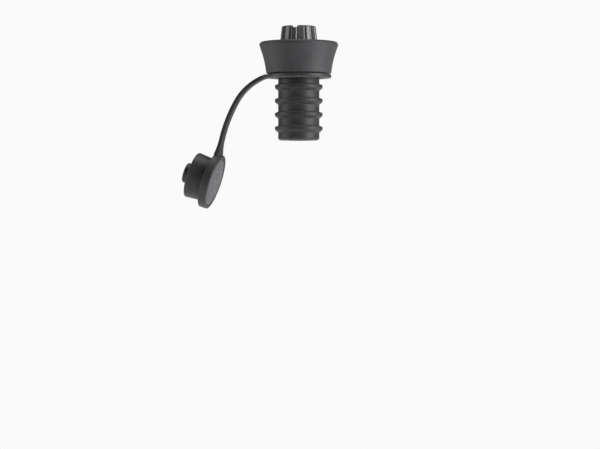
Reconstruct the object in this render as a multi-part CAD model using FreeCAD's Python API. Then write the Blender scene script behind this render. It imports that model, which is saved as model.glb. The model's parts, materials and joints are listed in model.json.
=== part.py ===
import FreeCAD, Part
import math
import os

# Bottle stopper with a pouring crown and a sealing cap on a soft tether.
# Millimetres, +Z up.  The origin is on the stopper's axis, at the plane where
# the tether ring rests on the bottle's lip.  The tether leaves toward -X and
# hangs in the XZ plane, in the pose it takes when the cap is off.

V = FreeCAD.Vector
UP = V(0, 0, 1)

# ---- fits -------------------------------------------------------------
STACK_GAP = 0.05          # between seated pieces
RUN_GAP = 0.10            # ring on its hub
HINGE_GAP = 0.15          # between the strap's links

# ---- tether ring and hub ----------------------------------------------
RING_T = 1.5              # ring thickness
RING_R = 13.1             # ring outer radius
HUB_R = 8.5               # hub the ring turns on
RING_LIFT = 0.4           # gap under the collar
RING_ROUND = 0.4

# ---- collar -----------------------------------------------------------
COLLAR_Z0 = RING_T + RING_LIFT
COLLAR_H = 12.7           # bottom to rim top
COLLAR_BOTTOM_R = RING_R
COLLAR_RIM_R = 15.9
COLLAR_BULGE = 0.40       # how far the flank's arc stands inside its chord
COLLAR_WALL = 1.8
RIM_ROUND = 1.5
RIM_LAND = 1.2            # width of the rim round the dish
DISH_DEPTH = 1.2
DECK_T = 1.8
BASE_T = 1.8

# ---- crown ------------------------------------------------------------
CROWN_H = 7.5             # above the dish floor
CROWN_FOOT_R = 7.65
CROWN_TOP_R = 6.8
CROWN_EDGE = 0.7          # rounding of the top edge
BORE_LEAD = 0.4           # bevel where the plug enters
FLUTES = 15
FLUTE_R = 0.75
FLUTE_DEPTH = 0.45
FLUTE_START = 0.9         # above the dish floor
NOTCH_ANGLE = -95.0       # degrees about +Z from +X
NOTCH_R = 1.4             # the pouring notch is a round scoop
NOTCH_DEPTH = 1.0
FOOT_FLANGE_R = 9.0
FOOT_FLANGE_T = 1.5

# ---- stem, seal and screen --------------------------------------------
STEM_R = 6.5
STEM_BORE_R = 4.6
STEM_BOTTOM = -24.0
STEM_FLANGE_T = 1.85
SEAL_T = 2.2
SEAL_W = 1.45
SCREEN_T = 0.4
SCREEN_R = 5.15
SCREEN_HOLE_R = 0.42
SCREEN_PITCH = 1.45
RETAINER_T = 1.1
RETAINER_W = 0.75

# ---- sealing sleeve ---------------------------------------------------
SLEEVE_TOP = -0.35
SLEEVE_BODY_R = 8.3
SLEEVE_LIP_T = 1.0
SLEEVE_TAPER = 0.6        # bevel of its lower end
FIN_R = 9.6
FIN_COUNT = 4
FIN_TOP = -2.9            # upper end of the first fin's land
FIN_PITCH = 5.6
FIN_LAND = 1.2
FIN_RAMP = 1.1
FIN_UNDER = 0.5

# ---- strap ------------------------------------------------------------
STRAP_T = 1.5
STRAP_W = 5.0
STRAP_ROUND = 0.35
STRAP_BENDS = [(2.2, 20.2), (22.5, 40.4), (58.9, 15.9)]   # radius, degrees
STRAP_TAIL = 6.0          # straight stretch at the cap
STRAP_ROOT = 0.9          # how far it is rooted in the ring
LINKS = 7
HINGE_FIRST = 1.4         # first hinge, from the ring's edge
HINGE_LAST = 1.5          # last hinge, from the cap's edge

# ---- cap --------------------------------------------------------------
CAP_LEAN = 71.8           # cap's disc below -X where it hangs, degrees
FLANGE_R = 11.3
FLANGE_T = 3.3
FLANGE_ROUND = 0.4
STRAP_SEAT = 0.95         # flange's underside to the strap's middle
BADGE_R = 9.5
BADGE_T = 0.5
BADGE_SUNK = 0.1
CUP_H = 7.0
CUP_ROOT_R = 8.8
CUP_MOUTH_R = 9.4
CUP_FLOOR_GAP = 0.7       # cup's rim over the dish floor when closed
CUP_CROWN_GAP = 0.28      # cup's inside to the crown when closed
CUP_LIP_ROUND = 0.4
PLUG_R = 4.1
PLUG_LENGTH = 9.9
PLUG_ROUND = 0.6
PLUG_GAP = 0.25           # plug in the crown's bore
PLUG_PIN_R = 2.4

# ---- worked out from the above ----------------------------------------
COLLAR_TOP = COLLAR_Z0 + COLLAR_H
DISH_Z = COLLAR_TOP - DISH_DEPTH
CROWN_TOP = DISH_Z + CROWN_H
DECK_Z = DISH_Z - DECK_T
FOOT_Z = DECK_Z - FOOT_FLANGE_T
STEM_TOP = FOOT_Z - STACK_GAP
STEM_FLANGE_Z = STEM_TOP - STEM_FLANGE_T
BORE_R = PLUG_R + PLUG_GAP
EPS = 0.01
ARC = 1 - math.sqrt(0.5)  # inset of a quarter round's middle point
FAR = 200                 # size of the blocks that cut the strap


def turned(outline):
    """Solid of revolution about Z.  The outline is (r, z) points; an item of
    three values, (r, z, "arc"), is the middle of an arc to the point after."""
    pts = [V(p[0], 0, p[1]) for p in outline]
    edges = []
    i = 0
    n = len(outline)
    while i < n:
        nxt = (i + 1) % n
        if len(outline[nxt]) == 3:
            end = (i + 2) % n
            edges.append(Part.Arc(pts[i], pts[nxt], pts[end]).toShape())
            i += 2
        else:
            edges.append(Part.makeLine(pts[i], pts[nxt]))
            i += 1
    face = Part.Face(Part.Wire(edges))
    return face.revolve(V(0, 0, 0), UP, 360)


def tube(r_out, r_in, z0, z1):
    return turned([(r_in, z0), (r_out, z0), (r_out, z1), (r_in, z1)])


def rounded_corner(r, z, size, r_side, z_side):
    """Start, middle and end of a quarter round at the corner (r, z)."""
    k = size * ARC
    return [(r, z - size * z_side), (r - k * r_side, z - k * z_side, "arc"),
            (r - size * r_side, z)]


def save(shape, node):
    solids = shape.Solids
    if len(solids) == 1:
        shape = solids[0]
    shape.exportStep("parts/%s.step" % node)


# ---- stopper body ------------------------------------------------------
def collar_flank(z):
    """Outer radius of the collar at height z: its chord, drawn in by an arc."""
    f = (z - COLLAR_Z0) / (COLLAR_TOP - RIM_ROUND - COLLAR_Z0)
    chord = COLLAR_BOTTOM_R + (COLLAR_RIM_R - COLLAR_BOTTOM_R) * f
    return chord - 4 * COLLAR_BULGE * f * (1 - f)


def collar():
    z_rim = COLLAR_TOP - RIM_ROUND
    z_mid = (COLLAR_Z0 + z_rim) / 2
    inner = COLLAR_WALL
    r_dish = COLLAR_RIM_R - RIM_ROUND - RIM_LAND
    outline = [
        (COLLAR_BOTTOM_R - inner, COLLAR_Z0),
        (COLLAR_BOTTOM_R, COLLAR_Z0),
        (collar_flank(z_mid), z_mid, "arc"),
        (COLLAR_RIM_R, z_rim),
    ]
    outline += rounded_corner(COLLAR_RIM_R, COLLAR_TOP, RIM_ROUND, 1, 1)[1:]
    outline += [
        (r_dish + DISH_DEPTH / 3, COLLAR_TOP),
        (r_dish, DISH_Z),
        (CROWN_FOOT_R + STACK_GAP, DISH_Z),
        (CROWN_FOOT_R + STACK_GAP, DECK_Z),
        (collar_flank(DECK_Z) - inner, DECK_Z),
        (collar_flank(z_mid) - inner, z_mid),
    ]
    return turned(outline)


def collar_base():
    """Disc that closes the collar, with the hub for the ring below it and the
    post that carries the stem's flange above it."""
    r_in = STEM_R + STACK_GAP
    r_edge = COLLAR_BOTTOM_R - COLLAR_WALL - STACK_GAP
    z_hub = SLEEVE_TOP + STACK_GAP
    return turned([
        (r_in, z_hub), (HUB_R, z_hub), (HUB_R, COLLAR_Z0), (r_edge, COLLAR_Z0),
        (r_edge, COLLAR_Z0 + BASE_T), (HUB_R, COLLAR_Z0 + BASE_T),
        (HUB_R, STEM_FLANGE_Z - STACK_GAP), (r_in, STEM_FLANGE_Z - STACK_GAP),
    ])


def crown_radius(z):
    """Outer radius of the crown's lobes at height z."""
    f = (z - DISH_Z) / CROWN_H
    return CROWN_FOOT_R + (CROWN_TOP_R - CROWN_FOOT_R) * f


def crown():
    z_seal = FOOT_Z + SEAL_T + STACK_GAP
    r_seal = PLUG_R + STACK_GAP + SEAL_W + STACK_GAP
    outline = [
        (r_seal, FOOT_Z), (FOOT_FLANGE_R, FOOT_Z),
        (FOOT_FLANGE_R, DECK_Z - STACK_GAP),
        (CROWN_FOOT_R, DECK_Z - STACK_GAP), (CROWN_FOOT_R, DISH_Z),
        (crown_radius(CROWN_TOP - CROWN_EDGE), CROWN_TOP - CROWN_EDGE),
    ]
    outline += rounded_corner(CROWN_TOP_R, CROWN_TOP, CROWN_EDGE, 1, 1)[1:]
    outline += [
        (BORE_R + BORE_LEAD, CROWN_TOP), (BORE_R, CROWN_TOP - BORE_LEAD),
        (BORE_R, z_seal), (r_seal, z_seal),
    ]
    body = turned(outline)
    z0 = DISH_Z + FLUTE_START
    z1 = CROWN_TOP + 1
    away = FLUTE_R - FLUTE_DEPTH
    foot = V(crown_radius(z0) + away, 0, z0)
    head = V(crown_radius(z1) + away, 0, z1)
    run = head - foot
    flute = Part.makeCylinder(FLUTE_R, run.Length, foot, run)
    flute = flute.fuse(Part.makeSphere(FLUTE_R, foot))
    for i in range(FLUTES):
        cutter = flute.copy()
        angle = NOTCH_ANGLE + 360 / FLUTES * (i + 0.5)
        cutter.rotate(V(0, 0, 0), UP, angle)
        body = body.cut(cutter)
    notch = Part.makeCylinder(NOTCH_R, CROWN_FOOT_R,
                              V(0, 0, CROWN_TOP - NOTCH_DEPTH + NOTCH_R),
                              V(1, 0, 0))
    notch.rotate(V(0, 0, 0), UP, NOTCH_ANGLE)
    return body.cut(notch)


def bore_seal():
    r_in = PLUG_R + STACK_GAP
    return tube(r_in + SEAL_W, r_in, FOOT_Z, FOOT_Z + SEAL_T)


def stem():
    z_seat = STEM_BOTTOM + RETAINER_T + SCREEN_T + 2 * STACK_GAP
    r_seat = SCREEN_R + STACK_GAP
    return turned([
        (r_seat, STEM_BOTTOM), (STEM_R, STEM_BOTTOM), (STEM_R, STEM_FLANGE_Z),
        (FOOT_FLANGE_R, STEM_FLANGE_Z), (FOOT_FLANGE_R, STEM_TOP),
        (STEM_BORE_R, STEM_TOP), (STEM_BORE_R, z_seat), (r_seat, z_seat),
    ])


def filter_screen():
    """Thin disc with rings of round holes."""
    z = STEM_BOTTOM + RETAINER_T + STACK_GAP
    disc = Part.makeCylinder(SCREEN_R, SCREEN_T, V(0, 0, z))
    reach = SCREEN_R - RETAINER_W - SCREEN_HOLE_R
    holes = [V(0, 0, z - 1)]
    for ring in range(1, int(reach / SCREEN_PITCH) + 1):
        count = 6 * ring
        for i in range(count):
            a = 2 * math.pi * i / count
            r = ring * SCREEN_PITCH
            holes.append(V(r * math.cos(a), r * math.sin(a), z - 1))
    drills = [Part.makeCylinder(SCREEN_HOLE_R, SCREEN_T + 2, h) for h in holes]
    return disc.cut(Part.makeCompound(drills))


def screen_retainer():
    return tube(SCREEN_R, SCREEN_R - RETAINER_W, STEM_BOTTOM,
                STEM_BOTTOM + RETAINER_T)


def plug_sleeve():
    """Soft sleeve on the stem: four fins, and a lip that covers its end."""
    r_in = STEM_R + STACK_GAP
    z_lip = STEM_BOTTOM - STACK_GAP
    z_end = z_lip - SLEEVE_LIP_T
    outline = [(r_in, SLEEVE_TOP), (SLEEVE_BODY_R, SLEEVE_TOP)]
    for i in range(FIN_COUNT):
        z = FIN_TOP - i * FIN_PITCH
        outline += [
            (SLEEVE_BODY_R, z + FIN_UNDER), (FIN_R, z),
            (FIN_R, z - FIN_LAND),
            (SLEEVE_BODY_R, z - FIN_LAND - FIN_RAMP),
        ]
    outline += [
        (SLEEVE_BODY_R, z_end + SLEEVE_TAPER),
        (SLEEVE_BODY_R - SLEEVE_TAPER, z_end),
        (SCREEN_R - RETAINER_W, z_end), (SCREEN_R - RETAINER_W, z_lip),
        (r_in, z_lip),
    ]
    return turned(outline)


# ---- tether -------------------------------------------------------------
def strap_point(s):
    """Point and heading (degrees below -X) on the strap's middle line, at a
    length s from the ring's edge."""
    x, z, h = -RING_R, RING_T / 2, 0.0
    left = s
    for radius, turn in STRAP_BENDS:
        run = min(max(left, 0), radius * math.radians(turn))
        d = run / radius
        x -= radius * (math.sin(h + d) - math.sin(h))
        z -= radius * (math.cos(h) - math.cos(h + d))
        h += d
        left -= radius * math.radians(turn)
    if s < 0:
        x -= s
    left = max(left, 0)
    return x - math.cos(h) * left, z - math.sin(h) * left, math.degrees(h)


def strap_length():
    bends = sum(r * math.radians(a) for r, a in STRAP_BENDS)
    return bends + STRAP_TAIL


def side_point(s, offset):
    """Point beside the middle line; a positive offset is the upper side."""
    x, z, h = strap_point(s)
    a = math.radians(h)
    return V(x - math.sin(a) * offset, -STRAP_W / 2, z + math.cos(a) * offset)


def strap_blank():
    """The whole strap as one solid, from its root in the ring to the cap."""
    marks = [-STRAP_ROOT, 0.0]
    for radius, turn in STRAP_BENDS:
        marks.append(marks[-1] + radius * math.radians(turn))
    marks.append(strap_length())
    half = STRAP_T / 2
    edges = []
    for offset, order in ((half, 1), (-half, -1)):
        runs = list(zip(marks, marks[1:]))
        if order < 0:
            runs = [(b, a) for a, b in reversed(runs)]
        for a, b in runs:
            p, q = side_point(a, offset), side_point(b, offset)
            mid = side_point((a + b) / 2, offset)
            flat = min(a, b) < 0 or max(a, b) > marks[-2]
            line = Part.makeLine(p, q)
            edges.append(line if flat else Part.Arc(p, mid, q).toShape())
        end = marks[-1] if order > 0 else marks[0]
        p, q = side_point(end, offset), side_point(end, -offset)
        edges.append(Part.makeLine(p, q))
    face = Part.Face(Part.Wire(edges))
    solid = face.extrude(V(0, STRAP_W, 0))
    long_edges = [e for e in solid.Edges
                  if e.BoundBox.YLength < EPS and e.Length > STRAP_T + EPS]
    return solid.makeChamfer(STRAP_ROUND, long_edges)


def beyond(s):
    """Large block over everything on the cap's side of the strap at s."""
    x, z, h = strap_point(s)
    block = Part.makeBox(FAR, FAR, FAR, V(-FAR, -FAR / 2, -FAR / 2))
    block.rotate(V(0, 0, 0), V(0, 1, 0), -h)
    block.translate(V(x, 0, z))
    return block


def hinge_places():
    first = HINGE_FIRST
    last = strap_length() - HINGE_LAST
    return [first + (last - first) * i / LINKS for i in range(LINKS + 1)]


def knuckle(s):
    x, z, h = strap_point(s)
    width = STRAP_W - 2 * STRAP_ROUND
    return Part.makeCylinder(STRAP_T / 2, width, V(x, -width / 2, z),
                             V(0, 1, 0))


def link(blank, here, after):
    """Strap from its own hinge, where it ends in a knuckle, to just short of
    the knuckle of the next."""
    stop = after - STRAP_T / 2 - HINGE_GAP
    body = blank.common(beyond(here)).cut(beyond(stop))
    return body.fuse(knuckle(here)).removeSplitter()


def tether_ring(blank, first_hinge):
    r_in = HUB_R + RUN_GAP
    outline = [(r_in, 0)]
    outline += rounded_corner(RING_R, 0, RING_ROUND, 1, -1)[::-1]
    outline += rounded_corner(RING_R, RING_T, RING_ROUND, 1, 1)
    outline += [(r_in, RING_T)]
    ring = turned(outline)
    stop = first_hinge - STRAP_T / 2 - HINGE_GAP
    return ring.fuse(blank.cut(beyond(stop))).removeSplitter()


# ---- cap, drawn closed about its own axis, then hung on the strap -------
def hang(shape):
    """Moves a cap piece from its own frame, with the flange's underside at
    z = 0 and the strap toward -X, to its place at the strap's end."""
    x, z, h = strap_point(strap_length())
    a = math.radians(CAP_LEAN)
    along = V(-math.cos(a), 0, -math.sin(a))
    face = V(math.sin(a), 0, -math.cos(a))
    centre = V(x, 0, z) + along * FLANGE_R - face * STRAP_SEAT
    placed = shape.copy()
    placed.rotate(V(0, 0, 0), V(0, 1, 0), -(180 + CAP_LEAN))
    placed.translate(centre)
    return placed


def flange(blank, last_hinge):
    z_pocket = FLANGE_T - BADGE_T - BADGE_SUNK
    r_badge = BADGE_R + STACK_GAP
    r_pin = PLUG_PIN_R + STACK_GAP
    outline = [(r_pin, 0)]
    outline += rounded_corner(FLANGE_R, 0, FLANGE_ROUND, 1, -1)[::-1]
    outline += rounded_corner(FLANGE_R, FLANGE_T, FLANGE_ROUND, 1, 1)
    outline += [(r_badge, FLANGE_T), (r_badge, z_pocket), (r_pin, z_pocket)]
    disc = hang(turned(outline))
    stub = blank.common(beyond(last_hinge)).fuse(knuckle(last_hinge))
    return disc.fuse(stub).fuse(strap_root_in_flange()).removeSplitter()


def strap_root_in_flange():
    """The strap's end runs on inside the flange, so that they are one."""
    depth = FLANGE_ROUND * 3
    root = Part.makeBox(depth, STRAP_W - 2 * STRAP_ROUND, STRAP_T,
                        V(-FLANGE_R, -STRAP_W / 2 + STRAP_ROUND,
                          STRAP_SEAT - STRAP_T / 2))
    return hang(root)


def cup_inside(z):
    """Inner radius of the cup at z below the flange: the crown's cone, which
    it fits over, opened by the gap."""
    z_closed = CROWN_TOP - CROWN_H + CUP_FLOOR_GAP + CUP_H + z
    return crown_radius(z_closed) + CUP_CROWN_GAP


def cup():
    outline = [(cup_inside(0), 0)]
    outline += rounded_corner(cup_inside(-CUP_H), -CUP_H, CUP_LIP_ROUND, -1, -1)
    outline += rounded_corner(CUP_MOUTH_R, -CUP_H, CUP_LIP_ROUND, 1, -1)[::-1]
    outline += [(CUP_ROOT_R, 0)]
    return turned(outline)


def plug():
    """Black plug, with the pin that fastens it through the flange."""
    pin_top = FLANGE_T - BADGE_T - BADGE_SUNK - STACK_GAP
    outline = [(0, -PLUG_LENGTH)]
    outline += rounded_corner(PLUG_R, -PLUG_LENGTH, PLUG_ROUND, 1, -1)[::-1]
    outline += [(PLUG_R, 0), (PLUG_PIN_R, 0), (PLUG_PIN_R, pin_top),
                (0, pin_top)]
    return turned(outline)


def badge():
    """Plain turned disc set in the flange's face."""
    z0 = FLANGE_T - BADGE_T - BADGE_SUNK
    return Part.makeCylinder(BADGE_R, BADGE_T, V(0, 0, z0))


def main():
    os.makedirs("parts", exist_ok=True)
    save(collar(), "collar")
    save(collar_base(), "collar_base")
    save(crown(), "crown")
    save(bore_seal(), "bore_seal")
    save(stem(), "stem_tube")
    save(filter_screen(), "filter_screen")
    save(screen_retainer(), "screen_retainer")
    save(plug_sleeve(), "plug_sleeve")

    blank = strap_blank()
    hinges = hinge_places()
    save(tether_ring(blank, hinges[0]), "tether_ring")
    for i in range(LINKS):
        save(link(blank, hinges[i], hinges[i + 1]), "strap_link_%02d" % (i + 1))
    save(flange(blank, hinges[-1]), "cap_flange")
    save(hang(cup()), "cap_cup")
    save(hang(plug()), "cap_plug")
    save(hang(badge()), "cap_badge")


main()
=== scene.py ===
import json
import math
import bpy
from mathutils import Matrix, Vector


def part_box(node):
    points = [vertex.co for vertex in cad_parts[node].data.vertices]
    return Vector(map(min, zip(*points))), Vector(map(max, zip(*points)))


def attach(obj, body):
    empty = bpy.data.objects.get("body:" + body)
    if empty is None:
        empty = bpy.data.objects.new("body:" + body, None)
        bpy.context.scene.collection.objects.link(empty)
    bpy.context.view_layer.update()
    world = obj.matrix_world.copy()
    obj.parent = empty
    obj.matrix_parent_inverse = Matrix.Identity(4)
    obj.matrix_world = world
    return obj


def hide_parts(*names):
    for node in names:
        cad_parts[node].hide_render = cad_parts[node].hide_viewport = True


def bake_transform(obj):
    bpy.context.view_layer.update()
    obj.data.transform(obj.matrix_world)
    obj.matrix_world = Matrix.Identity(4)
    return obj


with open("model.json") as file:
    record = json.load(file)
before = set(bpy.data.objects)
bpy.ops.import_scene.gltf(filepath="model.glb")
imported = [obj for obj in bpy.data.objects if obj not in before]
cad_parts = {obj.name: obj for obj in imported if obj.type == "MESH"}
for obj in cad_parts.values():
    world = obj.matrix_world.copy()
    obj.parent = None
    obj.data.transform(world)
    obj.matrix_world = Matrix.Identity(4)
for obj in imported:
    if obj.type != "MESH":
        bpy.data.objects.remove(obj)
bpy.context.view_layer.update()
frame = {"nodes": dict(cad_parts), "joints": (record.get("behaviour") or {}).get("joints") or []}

MM = 0.001
AROUND = 128              # columns of a turned piece
STACK_GAP = 0.05          # between two pieces seated on each other

# ---- sizes of the visible pieces, in mm ---------------------------------
# collar
COLLAR_LOW, COLLAR_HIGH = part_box("collar")
COLLAR_Z0 = COLLAR_LOW.z / MM
COLLAR_TOP = COLLAR_HIGH.z / MM
RIM_R = COLLAR_HIGH.x / MM
COLLAR_BOTTOM_R = 13.1
COLLAR_BULGE = 0.40       # how far the flank's arc stands inside its chord
COLLAR_WALL = 1.8
COLLAR_ROWS = 14
RIM_ROUND = 1.5
RIM_LAND = 1.2
DISH_DEPTH = 1.2
DISH_Z = COLLAR_TOP - DISH_DEPTH
DECK_T = 1.8              # deck under the dish
DECK_Z = DISH_Z - DECK_T

# crown
CROWN_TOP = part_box("crown")[1].z / MM
CROWN_FLANGE_R = 9.0      # flange under the deck
CROWN_FLANGE_T = 1.5
CROWN_FOOT_R = 7.65
CROWN_TOP_R = 6.8
CROWN_EDGE = 0.65         # rounding of its top edge
CROWN_ROWS = 12
CROWN_BORE_R = 4.35
BORE_LEAD = 0.4           # how much wider the bore's mouth is
CROWN_WALL = 1.2          # vertices nearer the bore are not fluted
CROWN_SEAL_R = 5.65
SEAL_T = 2.2
FLUTES = 15
FLUTE_COLUMNS = 16        # columns from one flute to the next
FLUTE_R = 0.75
FLUTE_DEPTH = 0.48
FLUTE_STEP = 2 * math.pi / FLUTES
FLUTE_START = 0.4         # above the dish
FLUTE_RAMP = 0.8          # height over which it reaches its full depth
NOTCH_ANGLE = math.radians(-95)
NOTCH_R = 1.4
NOTCH_DEPTH = 1.0

# sleeve
SLEEVE_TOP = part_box("plug_sleeve")[1].z / MM
SLEEVE_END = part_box("plug_sleeve")[0].z / MM
SLEEVE_R = 8.3
SLEEVE_BORE_R = 6.55
SLEEVE_MOUTH_R = 4.4
SLEEVE_FLOOR = 1.0        # thickness of its lower end
FIN_R = 9.6
FINS = 4
FIN_TOP = -2.9
FIN_PITCH = 5.6
FIN_LAND = 1.2
FIN_RAMP = 1.1

# ring and strap
RING_R = 13.1
RING_BORE_R = 8.6
RING_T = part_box("tether_ring")[1].z / MM
STRAP_T = 1.5
STRAP_W = 5.0
STRAP_EDGE = 0.35
STRAP_BENDS = [(2.2, 20.2), (22.5, 40.4), (58.9, 15.9)]
STRAP_TAIL = 6.0
STRAP_ROOT = 0.9          # how far its ends run into the ring and the cap
STRAP_STEP = 0.5
RING_FLARE_W = 1.3        # what the strap gains in width at the ring
RING_FLARE_RUN = 2.2
CAP_FLARE_W = 3.4         # what it gains in width and thickness at the cap
CAP_FLARE_T = 0.7
CAP_FLARE_RUN = 6.0

# cap
CAP_LEAN = 71.8
FLANGE_R = 11.3
FLANGE_T = 3.3
BADGE_R = 9.5
BADGE_T = 0.5
BADGE_SUNK = 0.1
BADGE_BORDER_R = 8.7      # inner edge of the raised border
BADGE_FACE_R = 8.5
BADGE_STEP = 0.08         # from the border down to the face
BADGE_HOLLOW = 0.25
BADGE_ROWS = 10
RING_PITCH = 0.5          # of the fine rings on its face
DIMPLE_R = 0.3            # left by the lathe in the centre
DIMPLE_DEPTH = 0.06
CUP_H = 7.0
CUP_ROOT_R = 8.8
CUP_MOUTH_R = 9.4
CUP_IN_ROOT_R = 7.05
CUP_IN_MOUTH_R = 7.85
PLUG_R = 4.1
PLUG_LENGTH = 9.9
PIN_R = 2.4               # pin that holds the plug in the flange
PIN_H = 2.6
PIN_CORE_R = 0.4

# studio
VIEW_TURN = math.radians(10.5)
VIEW_DISTANCE = 0.989
VIEW_DROP = 0.0590
VIEW_SIDE = 0.0005
LENS = 147.3
FLOOR_DROP = 0.5
FLOOR_R = 6.0
FLOOR_FAR = 3.6           # how far it reaches behind the object
FLOOR_GLOW = 0.30         # keeps the far floor pale
WALL_LIGHT = 0.956
ROOM_LIGHT = 0.08
LIGHT_AIM = (0, 0, -0.02)


# ---- modelling helpers --------------------------------------------------
def deselect():
    if bpy.context.object and bpy.context.object.mode != "OBJECT":
        bpy.ops.object.mode_set(mode="OBJECT")
    bpy.ops.object.select_all(action="DESELECT")


def choose(obj):
    deselect()
    obj.select_set(True)
    bpy.context.view_layer.objects.active = obj


def edit(obj):
    choose(obj)
    bpy.ops.object.mode_set(mode="EDIT")


def pick(obj, test):
    """Selects the vertices of obj that pass test, and goes back to editing."""
    bpy.ops.object.mode_set(mode="EDIT")
    bpy.ops.mesh.select_mode(type="VERT")
    bpy.ops.mesh.select_all(action="DESELECT")
    bpy.ops.object.mode_set(mode="OBJECT")
    for v in obj.data.vertices:
        v.select = test(v.co)
    bpy.ops.object.mode_set(mode="EDIT")


def smooth(obj, degrees=35):
    choose(obj)
    bpy.ops.object.shade_smooth_by_angle(angle=math.radians(degrees))


def rounded(corners, closed, steps=5):
    """Profile points from corners (r, z, round): each corner with a rounding
    becomes a tangent arc."""
    out = []
    n = len(corners)
    for i, (r, z, size) in enumerate(corners):
        here = Vector((r, z))
        if size == 0 or (not closed and i in (0, n - 1)):
            out.append((r, z))
            continue
        a = Vector(corners[i - 1][:2]) - here
        b = Vector(corners[(i + 1) % n][:2]) - here
        a.normalize()
        b.normalize()
        half = a.angle(b) / 2
        reach = size / math.tan(half)
        centre = here + (a + b).normalized() * (size / math.sin(half))
        p = here + a * reach - centre
        q = here + b * reach - centre
        sweep = p.angle_signed(q)
        for k in range(steps + 1):
            arm = p.copy()
            arm.rotate(Matrix.Rotation(-sweep * k / steps, 2))
            point = centre + arm
            out.append((point.x, point.y))
    return out


def turned(name, corners, closed=True, around=AROUND, start=0.0):
    """A circle drawn out ring by ring along a profile, as on a lathe.  Open
    profiles are closed with a face at each end."""
    profile = rounded(corners, closed)
    r, z = profile[0]
    deselect()
    bpy.ops.mesh.primitive_circle_add(vertices=around, radius=r * MM,
                                      location=(0, 0, z * MM),
                                      rotation=(0, 0, start))
    obj = bpy.context.object
    obj.name = name
    bpy.ops.object.transform_apply()
    edit(obj)
    bpy.ops.mesh.select_all(action="SELECT")
    if not closed:
        bpy.ops.mesh.edge_face_add()
        pick(obj, lambda co: True)
    for r1, z1 in profile[1:]:
        bpy.ops.mesh.extrude_edges_move(
            TRANSFORM_OT_translate={"value": (0, 0, (z1 - z) * MM)})
        k = r1 / r
        bpy.ops.transform.resize(value=(k, k, 1),
                                 center_override=(0, 0, z1 * MM))
        r, z = r1, z1
    bpy.ops.mesh.select_mode(type="EDGE")
    if closed:
        bpy.ops.mesh.select_all(action="DESELECT")
        bpy.ops.mesh.select_non_manifold()
        bpy.ops.mesh.bridge_edge_loops()
    else:
        bpy.ops.mesh.edge_face_add()
    bpy.ops.mesh.select_all(action="SELECT")
    bpy.ops.mesh.normals_make_consistent(inside=False)
    bpy.ops.object.mode_set(mode="OBJECT")
    smooth(obj)
    return obj


def give(obj, body, material, slot, *nodes):
    """Material of a piece, the body it rides on, if any, and the nodes it
    takes the place of.  The slot is not used."""
    obj.data.materials.clear()
    obj.data.materials.append(material)
    if body:
        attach(obj, body)
    if nodes:
        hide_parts(*nodes)
    return obj


# ---- materials ----------------------------------------------------------
def linear(hex_colour):
    """sRGB hex to the linear colour that the shader takes."""
    out = []
    for i in (0, 2, 4):
        c = int(hex_colour[i:i + 2], 16) / 255
        out.append(c / 12.92 if c <= 0.04045 else ((c + 0.055) / 1.055) ** 2.4)
    return (*out, 1.0)


def add_node(tree, kind, settings=None, **links):
    """Adds a node, sets its properties, and sets or links its sockets."""
    node = tree.nodes.new(kind)
    for key, value in (settings or {}).items():
        if key in node.inputs:
            node.inputs[key].default_value = value
        else:
            setattr(node, key, value)
    for name, source in links.items():
        tree.links.new(source, node.inputs[name.replace("_", " ")])
    return node


def start_material(name, **shader):
    material = bpy.data.materials.new(name)
    material.use_nodes = True
    tree = material.node_tree
    bsdf = tree.nodes["Principled BSDF"]
    for key, value in shader.items():
        bsdf.inputs[key.replace("_", " ")].default_value = value
    place = add_node(tree, "ShaderNodeTexCoord").outputs["Object"]
    return material, tree, bsdf, place


def grain(tree, place, size_mm, detail=3.0):
    """Noise whose blotches are about size_mm across."""
    return add_node(tree, "ShaderNodeTexNoise",
                    {"Scale": 1 / (size_mm * MM), "Detail": detail,
                     "Roughness": 0.55}, Vector=place).outputs[0]


def between(tree, factor, low, high, from_low=0.3, from_high=0.7):
    """Maps a factor to a number between low and high."""
    return add_node(tree, "ShaderNodeMapRange",
                    {"From Min": from_low, "From Max": from_high,
                     "To Min": low, "To Max": high}, Value=factor).outputs[0]


def uneven(tree, bsdf, pattern, low, high, *spread):
    """Roughness that follows a pattern from low to high."""
    tree.links.new(between(tree, pattern, low, high, *spread),
                   bsdf.inputs["Roughness"])


def two_tone(tree, bsdf, pattern, dark, light):
    """Colour that wanders between two close shades."""
    factor = between(tree, pattern, 0.0, 1.0)
    mix = tree.nodes.new("ShaderNodeMix")
    mix.data_type = "RGBA"
    mix.inputs[6].default_value = linear(dark)
    mix.inputs[7].default_value = linear(light)
    tree.links.new(factor, mix.inputs[0])
    tree.links.new(mix.outputs[2], bsdf.inputs["Base Color"])


def relief(tree, bsdf, height, depth_mm):
    bump = add_node(tree, "ShaderNodeBump",
                    {"Distance": depth_mm * MM, "Strength": 1.0},
                    Height=height)
    tree.links.new(bump.outputs["Normal"], bsdf.inputs["Normal"])


def silicone(name, dark, light, rough_low, rough_high, grain_mm, depth_mm):
    """Silicone rubber from a spark-eroded mould: a dull, soft surface with a
    fine even grain, slightly uneven in tone, that lights up at its edges."""
    material, tree, bsdf, place = start_material(
        name, IOR=1.41, Sheen_Weight=0.12, Sheen_Roughness=0.5)
    fine = grain(tree, place, grain_mm)
    cloud = grain(tree, place, 6.0, 2.0)
    two_tone(tree, bsdf, cloud, dark, light)
    uneven(tree, bsdf, fine, rough_low, rough_high)
    relief(tree, bsdf, fine, depth_mm)
    return material


def gloss_abs():
    """Dark grey ABS from a polished mould: shiny, with a faint haze, so its
    lobes catch the light in soft-edged stripes."""
    material, tree, bsdf, place = start_material("polished_grey_abs", IOR=1.53)
    wander = grain(tree, place, 2.5, 2.0)
    haze = grain(tree, place, 0.35, 4.0)
    two_tone(tree, bsdf, wander, "424245", "4b4b4e")
    uneven(tree, bsdf, haze, 0.27, 0.37)
    relief(tree, bsdf, wander, 0.012)
    return material


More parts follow.
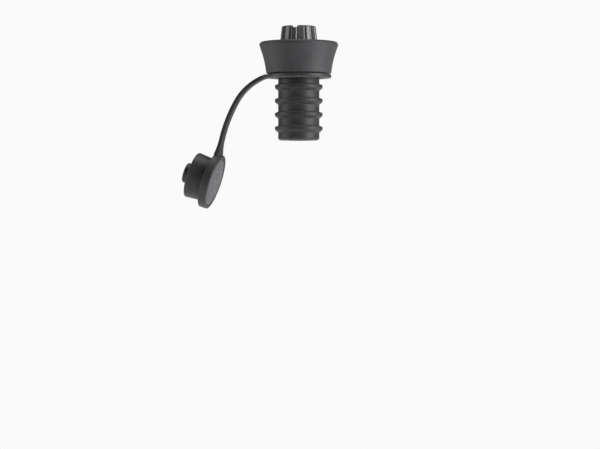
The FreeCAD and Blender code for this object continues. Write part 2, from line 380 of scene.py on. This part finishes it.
def matt_abs(name, dark, light):
    """Grey ABS from an eroded mould: flat, with a fine sandy grain."""
    material, tree, bsdf, place = start_material(name, IOR=1.53)
    fine = grain(tree, place, 0.3)
    cloud = grain(tree, place, 5.0, 2.0)
    two_tone(tree, bsdf, cloud, dark, light)
    uneven(tree, bsdf, fine, 0.42, 0.58)
    relief(tree, bsdf, fine, 0.008)
    return material


def etched_steel():
    """Stainless steel sheet, etched through: dull bright metal."""
    material, tree, bsdf, place = start_material(
        "etched_stainless_steel", Metallic=1.0)
    fine = grain(tree, place, 0.25)
    two_tone(tree, bsdf, fine, "9a9a9c", "b4b4b6")
    uneven(tree, bsdf, fine, 0.30, 0.45)
    return material


def spun_disc(centre, turn):
    """Satin grey insert, faced on a lathe: fine rings about its centre."""
    material, tree, bsdf, place = start_material(
        "spun_satin_insert", IOR=1.5, Metallic=0.45)
    lay = add_node(tree, "ShaderNodeMapping", {"vector_type": "TEXTURE"},
                   Vector=place)
    lay.inputs["Location"].default_value = centre
    lay.inputs["Rotation"].default_value = turn
    rings = add_node(tree, "ShaderNodeTexWave",
                     {"wave_type": "RINGS", "rings_direction": "Z",
                      "Scale": 1 / (RING_PITCH * MM) / 20, "Distortion": 0.4,
                      "Detail": 2.0}, Vector=lay.outputs[0])
    cloud = grain(tree, place, 3.0, 2.0)
    two_tone(tree, bsdf, cloud, "6a6a6e", "78787c")
    uneven(tree, bsdf, rings.outputs[1], 0.26, 0.38, 0.0, 1.0)
    relief(tree, bsdf, rings.outputs[1], 0.012)
    return material


# ---- stopper body -------------------------------------------------------
def flank(z):
    """Outer radius in mm of the collar's hollow flank at a height."""
    f = (z - COLLAR_Z0) / (COLLAR_TOP - RIM_ROUND - COLLAR_Z0)
    chord = COLLAR_BOTTOM_R + (RIM_R - COLLAR_BOTTOM_R) * f
    return chord - 4 * COLLAR_BULGE * f * (1 - f)


def make_collar():
    r_dish = RIM_R - RIM_ROUND - RIM_LAND
    corners = [(COLLAR_BOTTOM_R - COLLAR_WALL, COLLAR_Z0, 0.15),
               (COLLAR_BOTTOM_R, COLLAR_Z0, 0.25)]
    z_rim = COLLAR_TOP - RIM_ROUND
    for i in range(1, COLLAR_ROWS):
        z = COLLAR_Z0 + (z_rim - COLLAR_Z0) * i / COLLAR_ROWS
        corners.append((flank(z), z, 0))
    corners += [(RIM_R, z_rim, 0.3), (RIM_R, COLLAR_TOP, RIM_ROUND - 0.15),
                (r_dish + DISH_DEPTH / 3, COLLAR_TOP, 0.35),
                (r_dish, DISH_Z, 0.3),
                (CROWN_FOOT_R + STACK_GAP, DISH_Z, 0.04),
                (CROWN_FOOT_R + STACK_GAP, DECK_Z, 0.04),
                (flank(DECK_Z) - COLLAR_WALL, DECK_Z, 0.5)]
    return turned("collar_shell", corners)


def flute_depth(angle):
    """Depth in mm of the flutes at an angle from the notch."""
    off = (angle % FLUTE_STEP - FLUTE_STEP / 2) * (
        CROWN_FOOT_R + CROWN_TOP_R) / 2
    inside = FLUTE_R ** 2 - off ** 2
    return max(0.0, math.sqrt(max(inside, 0)) - FLUTE_R + FLUTE_DEPTH)


def crown_r(z):
    """Radius in mm of the crown's taper at a height."""
    return CROWN_FOOT_R + (CROWN_TOP_R - CROWN_FOOT_R) * (z - DISH_Z) / (
        CROWN_TOP - DISH_Z)


def make_crown():
    foot_z = DECK_Z - CROWN_FLANGE_T
    seat_z = DECK_Z - STACK_GAP
    seal_z = foot_z + SEAL_T + STACK_GAP
    corners = [(CROWN_SEAL_R, foot_z, 0), (CROWN_FLANGE_R, foot_z, 0.1),
               (CROWN_FLANGE_R, seat_z, 0.1),
               (CROWN_FOOT_R, seat_z, 0), (CROWN_FOOT_R, DISH_Z, 0)]
    for i in range(1, CROWN_ROWS):
        z = DISH_Z + (CROWN_TOP - DISH_Z) * i / CROWN_ROWS
        if z < CROWN_TOP - CROWN_EDGE - 0.15:
            corners.append((crown_r(z), z, 0))
    corners += [(CROWN_TOP_R, CROWN_TOP, CROWN_EDGE),
                (CROWN_BORE_R + BORE_LEAD, CROWN_TOP, 0.25),
                (CROWN_BORE_R, CROWN_TOP - 0.5, 0.2),
                (CROWN_BORE_R, seal_z, 0), (CROWN_SEAL_R, seal_z, 0)]
    columns = FLUTES * FLUTE_COLUMNS
    obj = turned("crown", corners, around=columns, start=NOTCH_ANGLE)
    edit(obj)
    first = (DISH_Z + FLUTE_START) * MM
    wall = (CROWN_BORE_R + CROWN_WALL) * MM
    heights = sorted({round(v.co.z, 6) for v in obj.data.vertices
                      if v.co.z > first and v.co.xy.length > wall})
    for column in range(1, FLUTE_COLUMNS):
        angle = 2 * math.pi / columns * column
        depth = flute_depth(angle)
        if depth == 0:
            continue
        for z in heights:
            ramp = min(1.0, (z - first) / (FLUTE_RAMP * MM))
            cut = depth * math.sqrt(ramp)

            def here(co, z=z, angle=angle):
                if abs(co.z - z) > 2e-6 or co.xy.length < wall:
                    return False
                turn = math.atan2(co.y, co.x) - NOTCH_ANGLE - angle
                half = FLUTE_STEP / 2
                return abs((turn + half) % FLUTE_STEP - half) < 0.005
            pick(obj, here)
            k = 1 - cut / crown_r(z / MM)
            bpy.ops.transform.resize(value=(k, k, 1),
                                     center_override=(0, 0, 0))
    bpy.ops.object.mode_set(mode="OBJECT")
    deselect()
    bpy.ops.mesh.primitive_cylinder_add(
        vertices=48, radius=NOTCH_R * MM, depth=5 * MM,
        location=(6 * MM * math.cos(NOTCH_ANGLE),
                  6 * MM * math.sin(NOTCH_ANGLE),
                  (CROWN_TOP - NOTCH_DEPTH + NOTCH_R) * MM),
        rotation=(0, math.pi / 2, NOTCH_ANGLE))
    cutter = bpy.context.object
    choose(obj)
    notch = obj.modifiers.new("notch", "BOOLEAN")
    notch.operation = "DIFFERENCE"
    notch.solver = "EXACT"
    notch.object = cutter
    bpy.ops.object.modifier_apply(modifier=notch.name)
    bpy.data.objects.remove(cutter)
    smooth(obj, 30)
    return obj


def make_sleeve():
    z_floor = SLEEVE_END + SLEEVE_FLOOR
    corners = [(SLEEVE_BORE_R, SLEEVE_TOP, 0.1),
               (SLEEVE_R, SLEEVE_TOP, 0.25)]
    for i in range(FINS):
        z = FIN_TOP - i * FIN_PITCH
        corners += [(SLEEVE_R, z + 0.5, 0.12), (FIN_R, z, 0.2),
                    (FIN_R, z - FIN_LAND, 0.2),
                    (SLEEVE_R, z - FIN_LAND - FIN_RAMP, 0.5)]
    corners += [(SLEEVE_R, SLEEVE_END + 0.6, 0.2),
                (SLEEVE_R - 0.6, SLEEVE_END, 0.25),
                (SLEEVE_MOUTH_R, SLEEVE_END, 0.2),
                (SLEEVE_MOUTH_R, z_floor, 0), (SLEEVE_BORE_R, z_floor, 0)]
    return turned("finned_sleeve", corners)


# ---- ring and strap -----------------------------------------------------
def strap_point(s):
    """Point and heading below -X on the strap's middle line, s mm from the
    ring's edge."""
    x, z, h = -RING_R, RING_T / 2, 0.0
    left = s
    for radius, turn in STRAP_BENDS:
        length = radius * math.radians(turn)
        d = min(max(left, 0), length) / radius
        x -= radius * (math.sin(h + d) - math.sin(h))
        z -= radius * (math.cos(h) - math.cos(h + d))
        h += d
        left -= length
    if s < 0:
        x -= s
    left = max(left, 0)
    x -= math.cos(h) * left
    z -= math.sin(h) * left
    return Vector((x, 0, z)) * MM, h


def strap_length():
    return sum(r * math.radians(a) for r, a in STRAP_BENDS) + STRAP_TAIL


def flare(s):
    """Width and thickness of the strap at s: it spreads a little at the ring,
    and more where it runs into the cap's flange."""
    near = max(0.0, 1 - max(s, 0) / RING_FLARE_RUN) ** 2
    left = max(strap_length() - s, 0)
    far = max(0.0, 1 - left / CAP_FLARE_RUN) ** 2
    return (STRAP_W + RING_FLARE_W * near + CAP_FLARE_W * far,
            STRAP_T + CAP_FLARE_T * far)


def make_strap():
    """The whole strap: a rounded oblong drawn out along its bends."""
    deselect()
    bpy.ops.mesh.primitive_plane_add(size=1, rotation=(0, math.pi / 2, 0))
    obj = bpy.context.object
    obj.name = "strap_blank"
    width, thick = flare(0)
    obj.scale = (thick * MM, width * MM, 1)
    bpy.ops.object.transform_apply()
    edit(obj)
    bpy.ops.mesh.select_mode(type="VERT")
    bpy.ops.mesh.select_all(action="SELECT")
    bpy.ops.mesh.bevel(offset=STRAP_EDGE * MM, segments=4, affect="VERTICES")
    run = strap_length() + 2 * STRAP_ROOT
    count = round(run / STRAP_STEP)
    places = [-STRAP_ROOT + run * i / count for i in range(count + 1)]
    point, heading = strap_point(places[0])
    bpy.ops.transform.translate(value=point)
    for s in places[1:]:
        after, turned_to = strap_point(s)
        bpy.ops.mesh.extrude_region_move(
            TRANSFORM_OT_translate={"value": after - point})
        new_width, new_thick = flare(s)
        bpy.ops.transform.rotate(value=-heading, orient_axis="Y",
                                 center_override=after)
        bpy.ops.transform.resize(
            value=(1, new_width / width, new_thick / thick),
            center_override=after)
        bpy.ops.transform.rotate(value=turned_to, orient_axis="Y",
                                 center_override=after)
        point, heading = after, turned_to
        width, thick = new_width, new_thick
    bpy.ops.mesh.select_all(action="SELECT")
    bpy.ops.mesh.normals_make_consistent(inside=False)
    bpy.ops.object.mode_set(mode="OBJECT")
    return obj


def cut_strap(blank, name, start, stop):
    """Copy of the strap between two places on it, closed at both ends."""
    choose(blank)
    bpy.ops.object.duplicate()
    obj = bpy.context.object
    obj.name = name
    edit(obj)
    for s, keep_after in ((start, True), (stop, False)):
        if s is None:
            continue
        at, heading = strap_point(s)
        along = (-math.cos(heading), 0, -math.sin(heading))
        bpy.ops.mesh.select_all(action="SELECT")
        bpy.ops.mesh.bisect(plane_co=at, plane_no=along, use_fill=True,
                            clear_inner=keep_after, clear_outer=not keep_after)
    bpy.ops.object.mode_set(mode="OBJECT")
    smooth(obj)
    return obj


def strap_places():
    """Where the hinges lie along the strap, from the joints' own points."""
    chain = [j for j in frame["joints"] if j["child"].startswith("link_")
             or j["child"] == "cap"]
    total = strap_length()
    steps = 4000
    places = []
    for joint in chain:
        at = Vector(joint["pos_m"])
        places.append(min((total * i / steps for i in range(steps + 1)),
                          key=lambda s: (strap_point(s)[0] - at).length))
    return chain, places


def make_strap_pieces(material):
    """Cuts the strap halfway between its hinges, one piece for each hinge."""
    blank = make_strap()
    chain, places = strap_places()
    mids = [(a + b) / 2 for a, b in zip(places, places[1:])]
    cuts = [None] + mids + [None]
    ends = [0.0] + mids + [strap_length()]
    for i, joint in enumerate(chain):
        obj = cut_strap(blank, "strap_%02d" % (i + 1), cuts[i], cuts[i + 1])
        nodes = []
        if joint["child"] != "cap":
            nodes = ["strap_" + joint["child"]]
        give(obj, None, material, "tether_silicone", *nodes)
        strap_point(ends[i])[0]
        strap_point(ends[i + 1])[0]
        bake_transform(obj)
    bpy.data.objects.remove(blank)


def make_ring():
    corners = [(RING_BORE_R, 0, 0.1), (RING_R, 0, 0.4), (RING_R, RING_T, 0.4),
               (RING_BORE_R, RING_T, 0.1)]
    return turned("ring_band", corners)


# ---- cap, turned about its own axis, then hung on the strap -------------
def cap_place():
    """Turn and shift from the cap's own axis, with the flange's underside at
    z = 0, to its place."""
    low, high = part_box("cap_badge")
    lean = math.radians(CAP_LEAN)
    face = Vector((math.sin(lean), 0, -math.cos(lean)))
    lift = (FLANGE_T - BADGE_SUNK - BADGE_T / 2) * MM
    origin = (low + high) / 2 - face * lift
    return Matrix.Translation(origin) @ Matrix.Rotation(
        -(math.pi + lean), 4, "Y")


def hang(obj):
    """Moves a piece of the cap from its own axis to its place."""
    choose(obj)
    obj.matrix_world = cap_place()
    bpy.ops.object.transform_apply()
    return obj


def make_flange():
    pocket = FLANGE_T - BADGE_T - BADGE_SUNK
    bore_r = PIN_R + STACK_GAP
    pocket_r = BADGE_R + STACK_GAP
    corners = [(bore_r, 0, 0), (FLANGE_R, 0, 0.4), (FLANGE_R, FLANGE_T, 0.4),
               (pocket_r, FLANGE_T, 0.12), (pocket_r, pocket, 0),
               (bore_r, pocket, 0)]
    return hang(turned("cap_disc", corners))


def make_cup():
    corners = [(CUP_IN_ROOT_R, 0, 0), (CUP_IN_MOUTH_R, -CUP_H, 0.5),
               (CUP_MOUTH_R, -CUP_H, 0.6), (CUP_ROOT_R, 0, 0)]
    return hang(turned("cap_skirt", corners))


def make_plug():
    corners = [(PIN_CORE_R, -PLUG_LENGTH, 0), (PLUG_R, -PLUG_LENGTH, 0.6),
               (PLUG_R, 0, 0), (PIN_R, 0, 0), (PIN_R, PIN_H, 0),
               (PIN_CORE_R, PIN_H, 0)]
    return hang(turned("cap_plug_pin", corners, closed=False))


def make_badge():
    """Insert with a raised border, a face hollowed like a watch glass, and
    the centre dimple left by the lathe."""
    top = FLANGE_T - BADGE_SUNK
    low = top - BADGE_T
    face = top - BADGE_STEP
    corners = [(DIMPLE_R, low, 0), (BADGE_R, low, 0), (BADGE_R, top, 0.12),
               (BADGE_BORDER_R, top, 0.05), (BADGE_FACE_R, face, 0.05)]
    for i in range(1, BADGE_ROWS):
        r = BADGE_FACE_R * (1 - i / BADGE_ROWS)
        hollow = BADGE_HOLLOW * (1 - (r / BADGE_FACE_R) ** 2)
        corners.append((r, face - hollow, 0))
    corners.append((DIMPLE_R, face - DIMPLE_DEPTH - BADGE_HOLLOW, 0))
    return hang(turned("cap_face_disc", corners, closed=False))


# ---- studio -------------------------------------------------------------
def soft_light(name, place, size, power):
    data = bpy.data.lights.new(name, "AREA")
    data.shape = "RECTANGLE"
    data.size, data.size_y = size
    data.energy = power
    obj = bpy.data.objects.new(name, data)
    bpy.context.scene.collection.objects.link(obj)
    obj.location = place
    away = Vector(place) - Vector(LIGHT_AIM)
    obj.rotation_euler = away.to_track_quat("Z", "Y").to_euler()


def make_studio():
    scene = bpy.context.scene
    scene.view_settings.view_transform = "Standard"
    # the camera sees a white wall; the room that lights the object is dimmer
    world = bpy.data.worlds.new("pale_room")
    world.use_nodes = True
    tree = world.node_tree
    room = tree.nodes["Background"]
    room.inputs["Color"].default_value = (1, 1, 1, 1)
    room.inputs["Strength"].default_value = ROOM_LIGHT
    wall = add_node(tree, "ShaderNodeBackground",
                    {"Strength": WALL_LIGHT, "Color": (1, 1, 1, 1)})
    seen = add_node(tree, "ShaderNodeLightPath").outputs["Is Camera Ray"]
    mix = add_node(tree, "ShaderNodeMixShader", Fac=seen)
    tree.links.new(room.outputs[0], mix.inputs[1])
    tree.links.new(wall.outputs[0], mix.inputs[2])
    tree.links.new(mix.outputs[0],
                   tree.nodes["World Output"].inputs["Surface"])
    scene.world = world

    deselect()
    bpy.ops.mesh.primitive_circle_add(
        vertices=96, radius=FLOOR_R, fill_type="NGON",
        location=(0, FLOOR_FAR - FLOOR_R, -FLOOR_DROP))
    floor = bpy.context.object
    floor.name = "floor"
    paint = start_material("pale_floor", Base_Color=linear("f4f4f4"),
                           Roughness=0.9, Emission_Color=(1, 1, 1, 1),
                           Emission_Strength=FLOOR_GLOW)[0]
    floor.data.materials.append(paint)

    soft_light("right_box", (1.40, -0.30, 0.20), (0.9, 1.3), 30)
    soft_light("left_box", (-1.34, -0.45, 0.20), (0.9, 1.3), 12)
    soft_light("top_box", (0.10, 0.20, 1.6), (1.2, 1.2), 11)


def make_camera():
    data = bpy.data.cameras.new("camera")
    data.lens = LENS
    data.sensor_width = 36
    obj = bpy.data.objects.new("camera", data)
    bpy.context.scene.collection.objects.link(obj)
    out = Vector((math.sin(VIEW_TURN), -math.cos(VIEW_TURN), 0))
    right = Vector((math.cos(VIEW_TURN), math.sin(VIEW_TURN), 0))
    obj.location = out * VIEW_DISTANCE + right * VIEW_SIDE
    obj.location.z = -VIEW_DROP
    obj.rotation_euler = (math.pi / 2, 0, VIEW_TURN)
    bpy.context.scene.camera = obj


def main():
    make_camera()
    make_studio()
    collar_rubber = silicone("matt_grey_silicone", "2c2c2e", "343437",
                             0.50, 0.66, 0.35, 0.012)
    tether_rubber = silicone("satin_grey_silicone", "242426", "2b2b2d",
                             0.40, 0.54, 0.45, 0.006)
    sleeve_rubber = silicone("black_silicone", "1e1e20", "262628",
                             0.45, 0.60, 0.40, 0.010)
    gloss = gloss_abs()
    body_plastic = matt_abs("charcoal_abs", "2a2a2c", "323234")
    plug_plastic = matt_abs("black_abs", "0e0e0f", "141416")
    steel = etched_steel()

    give(make_collar(), "stopper", collar_rubber, "collar_silicone", "collar")
    give(make_crown(), "stopper", gloss, "crown_gloss", "crown")
    give(make_sleeve(), "stopper", sleeve_rubber, "sleeve_silicone",
         "plug_sleeve")
    give(make_ring(), "ring", tether_rubber, "tether_silicone", "tether_ring")
    make_strap_pieces(tether_rubber)
    give(make_flange(), "cap", tether_rubber, "tether_silicone", "cap_flange")
    give(make_cup(), "cap", tether_rubber, "tether_silicone", "cap_cup")
    give(make_plug(), "cap", plug_plastic, "plug_black", "cap_plug")
    place = cap_place()
    disc = spun_disc(place.to_translation(), place.to_euler())
    give(make_badge(), "cap", disc, "badge_satin", "cap_badge")

    for node, material in (("collar_base", body_plastic),
                           ("stem_tube", body_plastic),
                           ("screen_retainer", body_plastic),
                           ("bore_seal", sleeve_rubber),
                           ("filter_screen", steel)):
        obj = frame["nodes"][node]
        obj.data.materials.clear()
        obj.data.materials.append(material)


main()
